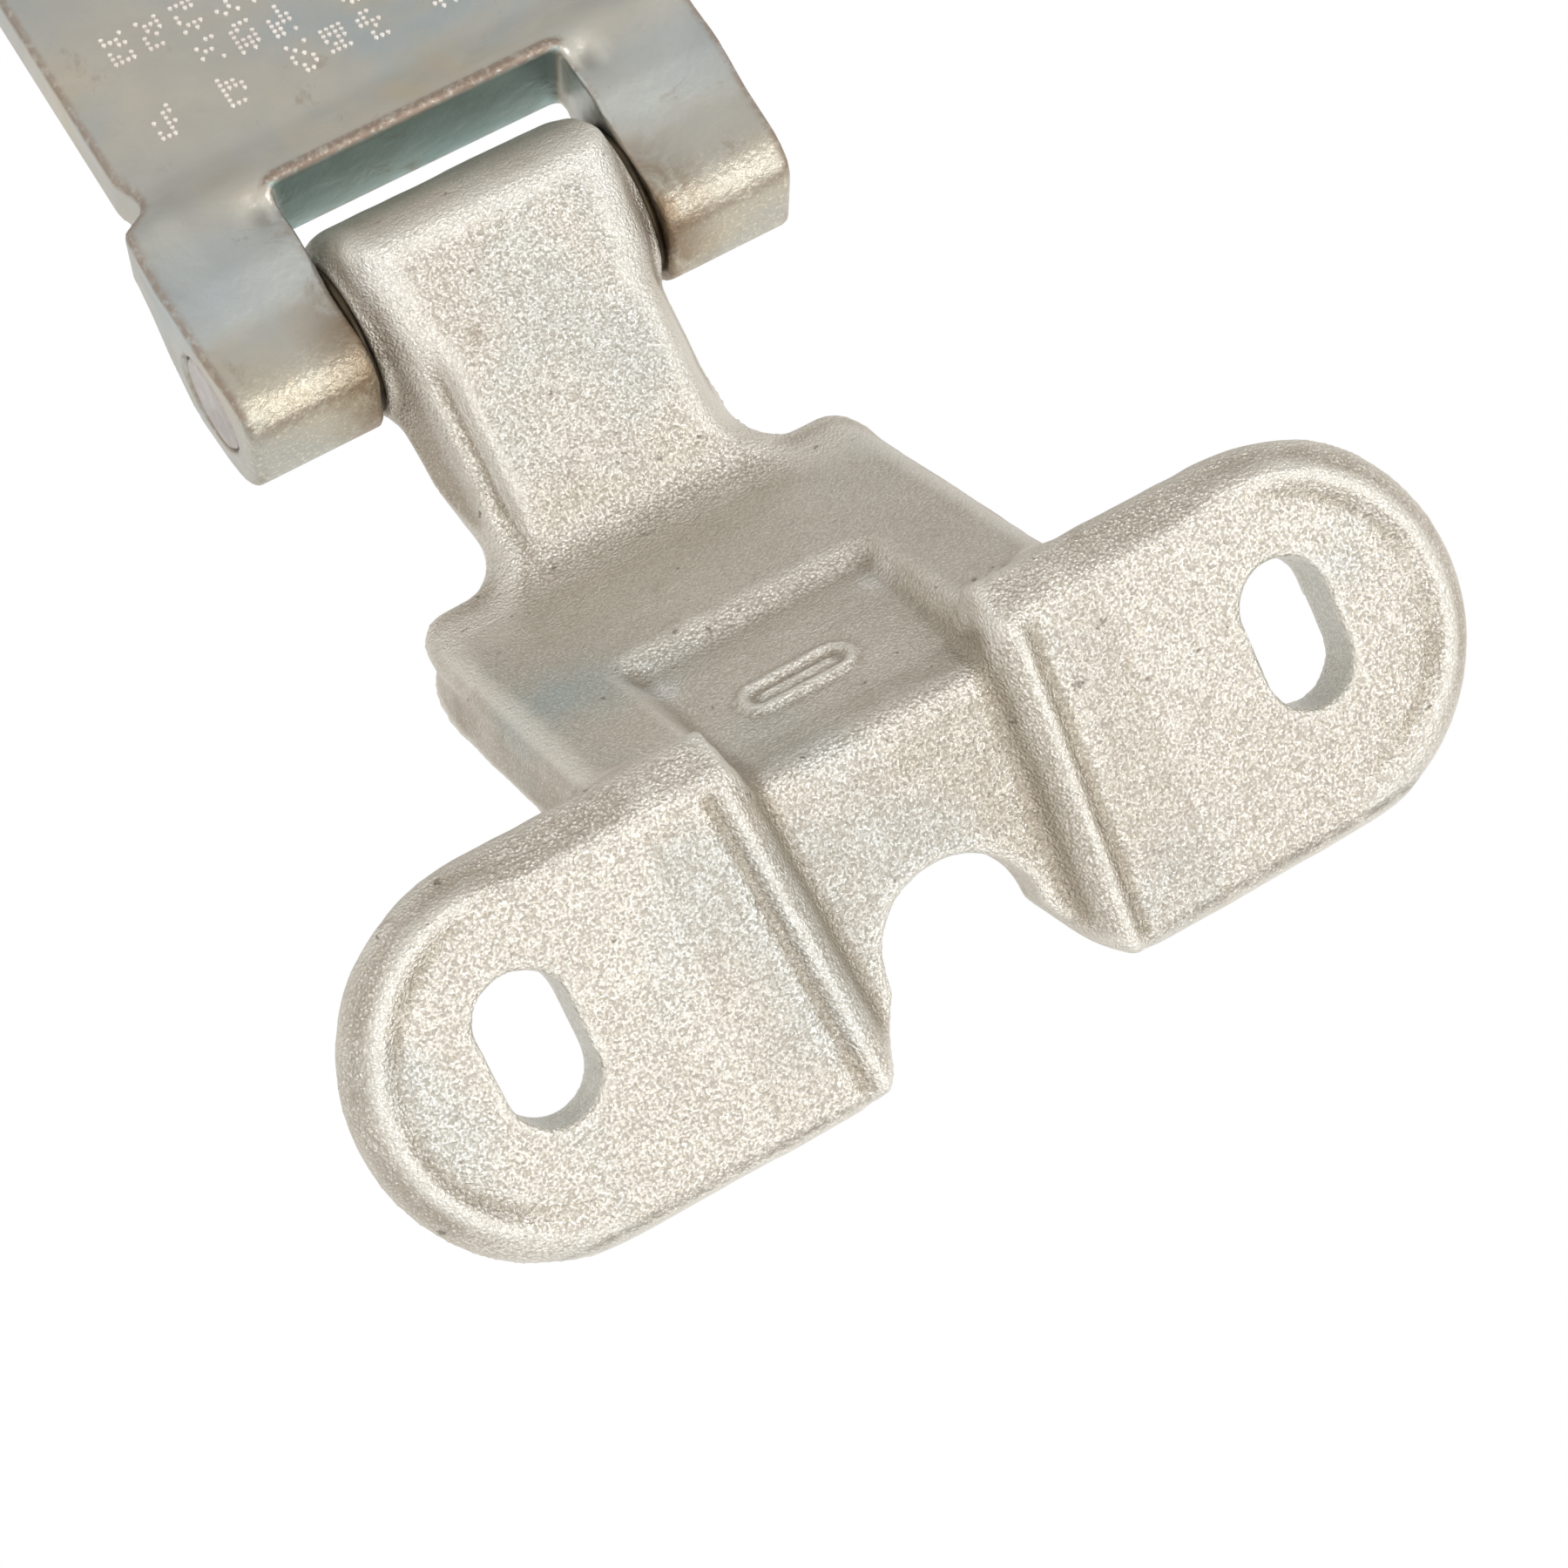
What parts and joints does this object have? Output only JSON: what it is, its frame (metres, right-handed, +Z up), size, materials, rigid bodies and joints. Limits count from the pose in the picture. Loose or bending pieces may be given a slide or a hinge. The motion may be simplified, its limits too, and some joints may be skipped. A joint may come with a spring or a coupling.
{
  "type": "gooseneck hinge",
  "caption": "Heavy gooseneck door hinge: a forged leaf with two slotted pads swings on a pin held in the ears of a bent fork leaf.",
  "frame": {"origin": "on the flat back face of the strap, midway between the two near bolt holes and at the middle of its width", "axes": "+X from the strap toward the pin and the pads, +Y out of the strap's back face toward the wall it is bolted to, +Z up along the pin"},
  "size_m": [0.2331, 0.0471, 0.1354],
  "materials": {
    "plated_plate": "satin zinc plate with a faint yellow and blue tint",
    "pin_steel": "turned steel, dulled",
    "plated_forging": "coarse shot-blasted forging, zinc plated",
    "bush_bronze": "dull bearing bronze"
  },
  "bodies": {
    "fixed_side": {"fork_leaf": "plated_plate", "hinge_pin": "pin_steel"},
    "door_side": {"forged_leaf": "plated_forging", "bush_upper": "bush_bronze", "bush_lower": "bush_bronze"}
  },
  "joints": [
    {"name": "door_swing", "type": "hinge", "parent": "fixed_side", "child": "door_side", "pos_m": [0.066, 0.0015, 0], "axis": [0, 0, 1], "range_deg": [-62, 112]}
  ]
}
